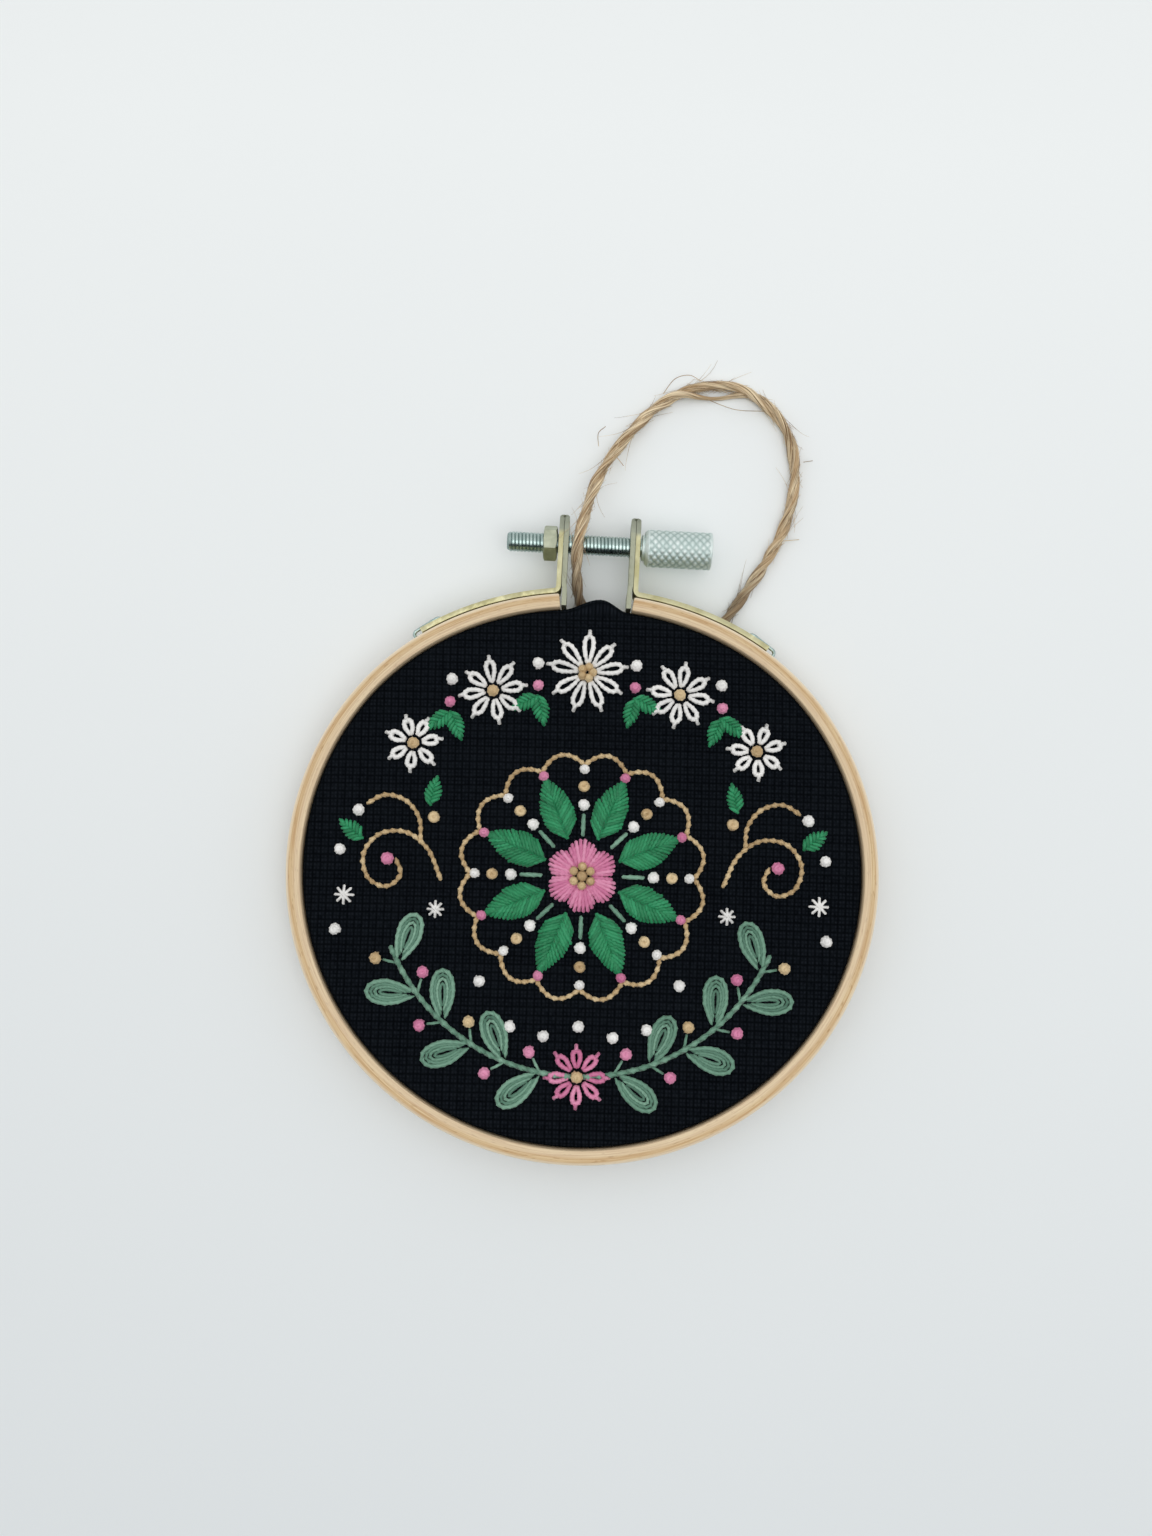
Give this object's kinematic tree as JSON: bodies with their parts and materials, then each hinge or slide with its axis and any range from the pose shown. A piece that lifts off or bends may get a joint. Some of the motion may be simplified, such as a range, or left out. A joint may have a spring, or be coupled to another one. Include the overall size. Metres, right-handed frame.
{
  "type": "embroidered cloth in wooden hoop",
  "caption": "Dark evenweave cloth with floral embroidery, stretched in an oval-pressed wooden screw hoop with plated brackets, a knurled thumb screw and a twine hanging loop.",
  "frame": {"origin": "on the surface that the hoop lies on, under the middle of the hoop and its hardware without the twine", "axes": "+Z is the way the cloth faces, +Y points from the hoop to its screw, +X points along the screw to its knob"},
  "size_m": [0.1282, 0.1774, 0.0123],
  "materials": {
    "wood": "smooth sanded pale wood, unvarnished",
    "cloth": "matte black evenweave cotton",
    "yellow_zinc": "pale yellow zinc plate",
    "zinc": "bright zinc plate",
    "jute": "natural two-ply jute"
  },
  "bodies": {
    "hoop": {"outer_ring": "wood", "inner_ring": "wood", "cloth": "cloth", "bracket_left": "yellow_zinc", "bracket_right": "yellow_zinc", "staple_left": "zinc", "staple_right": "zinc", "screw_nut": "zinc", "twine": "jute"},
    "screw": {"thumb_screw": "zinc"}
  },
  "joints": [
    {"name": "screw_turn", "type": "hinge", "parent": "hoop", "child": "screw", "pos_m": [0, 0.06423, 0.00705], "axis": [1, 0, 0], "continuous": true}
  ]
}
